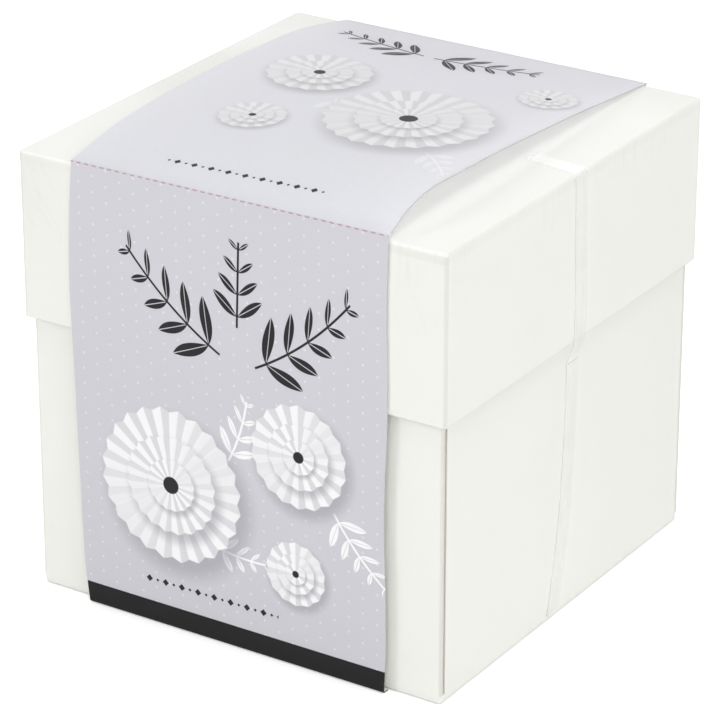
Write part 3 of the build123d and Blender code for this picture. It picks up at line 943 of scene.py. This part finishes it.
def bow_loop(side, hand, satin):
    """Teardrop loop, by the angle round it. The share out is half of 1 minus the cosine; the height is a
    middle line that rises with the share, plus the sine times a swelling that grows with the share; the
    half width grows with the share's square root."""
    end = LOOP_HIGH[0] - 0.3
    low = LOOP_LOW[2] + 0.25
    tall = LOOP_HIGH[2] - low - 0.3
    turn = np.linspace(0, 2 * math.pi, LOOP_ROWS)
    share = (1 - np.cos(turn)) / 2
    x = LOOP_START + (end - LOOP_START) * share
    middle = low + 1.2 + share * 1.2 + (tall - 2.4) * 0.5 * share ** 0.55
    z = middle + np.sin(turn) * tall * 0.30 * (0.45 + 0.75 * share)
    z = np.clip(z, low, LOOP_HIGH[2] - 0.25)
    zero = np.zeros_like(x)
    wide = hand * (LOOP_HALF + LOOP_WIDENING * np.sqrt(share))
    ribbon_band("bow_loop_" + side + "_band", "bow_loop_" + side, np.stack([hand * x, zero, z], axis=-1),
                np.stack([zero, wide, zero], axis=-1), satin)


def bow_tail(side, hand, satin):
    """Tail that leaves the knot and waves once. A point lies at its reach along the tail's direction and
    its place across square to it; the reach falls short at the end, most in the middle, which makes the
    swallow's notch; the height is a squared sine of the share along, a little uneven across."""
    s = np.linspace(0, 1, TAIL_ROWS)[:, None]
    columns = np.linspace(-1, 1, RIBBON_COLUMNS)[None, :]
    reach = TAIL_START + s * (TAIL_LENGTH - TAIL_NOTCH * s ** 8 * (1 - np.abs(columns)))
    across = TAIL_HALF * (0.55 + 0.45 * np.minimum(s * 3.0, 1.0)) * columns
    x = hand * (reach * math.cos(TAIL_TURN) + across * math.sin(TAIL_TURN))
    y = -reach * math.sin(TAIL_TURN) + across * math.cos(TAIL_TURN)
    z = GIFT_TOP + RIBBON * 2.6 + TAIL_WAVE * np.sin(math.pi * s) ** 2 * (1 - 0.2 * columns)
    face = np.stack([x, y, z], axis=-1)
    if hand < 0:
        face = face[:, ::-1]
    piece = thin_sheet("bow_tail_" + side + "_band", face, RIBBON * RIBBON_SHARE,
                       strip_spots(0.5 + 0.5 * columns[0], reach), [satin] * 3)
    fasten(piece, "gift_lid", "bow_tail_" + side)


def squarish(wave):
    """A wave pressed towards its crests: its 0.75th power, with its sign."""
    return np.sign(wave) * np.abs(wave) ** 0.75


def bow_knot(satin):
    """Rounded wrap round the pinch: a flattened tube along Y, from the pressed sine and cosine of the
    angle round it, gathered by a parabola and shallow cosine pleats along its length."""
    middle = (KNOT_TOP + GIFT_TOP) / 2 + 0.1
    tall = (KNOT_TOP - GIFT_TOP) / 2 - 0.25
    wide = KNOT_HALF - 0.2
    turn = np.linspace(0, 2 * math.pi, KNOT_ROWS)[:, None]
    share = np.linspace(-1, 1, KNOT_COLUMNS)
    swell = 1 - 0.16 * share ** 2 + 0.03 * np.cos(share * 9)
    x = wide * squarish(np.sin(turn)) * swell
    z = middle + tall * squarish(np.cos(turn)) * swell
    y = np.broadcast_to(KNOT_LENGTH_HALF * share, x.shape)
    face = np.stack([x, y, z], axis=-1)[:, ::-1]
    spots = strip_spots(0.5 + 0.5 * share, turn / (2 * math.pi) * KNOT_ROUND)
    piece = thin_sheet("bow_knot_band", face, KNOT_THICKNESS, spots, [satin] * 3)
    fasten(piece, "gift_lid", "bow_knot")


def gift_bow():
    """The ribbon round the gift lid and the bow on it."""
    satin = satin_ribbon()
    gift_ribbon(satin)
    for side, hand in (("right", 1), ("left", -1)):
        bow_loop(side, hand, satin)
        bow_tail(side, hand, satin)
    bow_knot(satin)


# Finishes of the carried-over card

def dress_card():
    """Give every card node the finish of its kind, which the first word of its name tells; a wall's thin
    axis follows from its side."""
    finishes = {"lid": lid_card(), "base": base_board(), "gift": gift_card(),
                "floor": layer_card("layer_floor_card", 2, CARD_CLOUD, CARD_WHITE, 0.05)}
    for axis in (0, 1):
        for kind, cloud, light, fleck_share in (("layer", CARD_CLOUD, CARD_WHITE, 0.04),
                                                ("insert", INSERT_CLOUD, INSERT_WHITE, 0.1),
                                                ("cream", CREAM_CLOUD, CREAM_LIGHT, 0.5)):
            title = "%s_card_%d" % (kind, axis)
            finishes[kind, axis] = layer_card(title, axis, cloud, light, fleck_share)
    kinds = {"pull": "cream", "wing": "insert", "pocket": "insert"}
    for name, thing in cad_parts.items():
        word = name.split("_")[0]
        axis = 1 if "front" in name or "back" in name else 0
        if word in finishes:
            finish = finishes[word]
        elif name.endswith("floor"):
            finish = finishes["floor"]
        else:
            finish = finishes[kinds.get(word, "layer"), axis]
        thing.data.materials.clear()
        thing.data.materials.append(finish)


# Camera, lamps and floor

# Strength of the surround's light on the box
WORLD_STRENGTH = 0.02
# Half of the floor's side, in metres
FLOOR_HALF = 3.0
# Own brightness of the floor for the camera near the box
FLOOR_LIFT = 0.3
# Middle and width, in millimetres, of the ring where that brightness rises to 1
FLOOR_FADE = (800, 1000)
# Distance of every lamp from the point that it aims at, in metres
LAMP_DISTANCE = 1.4
LAMP_AIM = (0, 0, 0.05)
# Name, azimuth and elevation in degrees, width in metres, strength on a facing surface
LAMPS = (("front", 0, 18, 0.8, 0.06), ("camera side", 30, 27, 0.8, 0.20), ("high", 30, 60, 0.9, 0.20),
         ("right", 75, 26, 0.8, 0.235), ("back right", 115, 32, 0.9, 0.165),
         ("overhead", 170, 84, 1.4, 0.36), ("key", -38, 25, 0.4, 0.24),
         ("back left", -100, 28, 0.9, 0.19), ("behind", 180, 22, 0.9, 0.24))


def direction(azimuth, elevation):
    """Unit vector towards a place seen from the middle; azimuth turns from the front to the right."""
    a = math.radians(azimuth)
    e = math.radians(elevation)
    return Vector((math.sin(a) * math.cos(e), -math.cos(a) * math.cos(e), math.sin(e)))


def put_camera():
    """Camera with the photograph's view."""
    away = direction(VIEW_AZIMUTH, VIEW_ELEVATION)
    camera = bpy.data.objects.new("camera", bpy.data.cameras.new("camera"))
    bpy.context.scene.collection.objects.link(camera)
    camera.location = (Vector(VIEW_TARGET) + away * VIEW_DISTANCE) * MM
    camera.rotation_euler = (-away).to_track_quat("-Z", "Y").to_euler()
    camera.data.sensor_width = SENSOR_WIDTH
    camera.data.lens = VIEW_FOCAL_PIXELS * SENSOR_WIDTH / PICTURE_PIXELS
    camera.data.clip_start = 0.01
    camera.data.clip_end = 20
    bpy.context.scene.camera = camera


def put_lamps():
    """Square soft lamps. The power is the wanted strength times the square of pi times the distance."""
    for name, azimuth, elevation, width, strength in LAMPS:
        away = direction(azimuth, elevation)
        light = bpy.data.lights.new(name, "AREA")
        light.size = width
        light.energy = strength * (math.pi * LAMP_DISTANCE) ** 2
        lamp = bpy.data.objects.new(name, light)
        bpy.context.scene.collection.objects.link(lamp)
        lamp.location = Vector(LAMP_AIM) + away * LAMP_DISTANCE
        lamp.rotation_euler = (-away).to_track_quat("-Z", "Y").to_euler()


def put_surround():
    """White surround for the camera, for gloss and through film, and a dimmer one that lights."""
    world = bpy.data.worlds.new("surround")
    bpy.context.scene.world = world
    m = Nodes(world)
    seen = m.add("ShaderNodeLightPath", output="Is Camera Ray")
    for ray in ("Is Glossy Ray", "Is Transmission Ray"):
        seen = seen.math("MAXIMUM", m.add("ShaderNodeLightPath", output=ray))
    strength = seen * (1 - WORLD_STRENGTH) + WORLD_STRENGTH
    sky = m.add("ShaderNodeBackground", inputs={"Color": (1.0, 1.0, 1.0), "Strength": strength})
    m.add("ShaderNodeOutputWorld", inputs={"Surface": sky})


def put_floor():
    """White floor that keeps the box's shadow and turns into the white surround further out."""
    m = new_material("floor_white")
    place, (x, y, _) = m.object_place()
    far = distance(x, y).above(*FLOOR_FADE)
    lift = m.add("ShaderNodeLightPath", output="Is Camera Ray") * (FLOOR_LIFT + (1 - FLOOR_LIFT) * far)
    finish = m.finish(m.surface(Base_Color=FLOOR_WHITE, Roughness=0.85 + 0.1 * m.noise(place, 0.05),
                                Emission_Color=m.mix(lift, (0.0, 0.0, 0.0), (1.0, 1.0, 1.0)),
                                Emission_Strength=1.0))
    mesh = bpy.data.meshes.new("floor")
    h = FLOOR_HALF
    mesh.from_pydata([(-h, -h, 0), (h, -h, 0), (h, h, 0), (-h, h, 0)], [], [(0, 1, 2, 3)])
    mesh.materials.append(finish)
    floor = bpy.data.objects.new("floor", mesh)
    bpy.context.scene.collection.objects.link(floor)


put_camera()
dress_card()
paper_sleeve()
film_seam()
gift_bow()
put_lamps()
put_surround()
put_floor()
bpy.context.scene.view_settings.view_transform = "Standard"
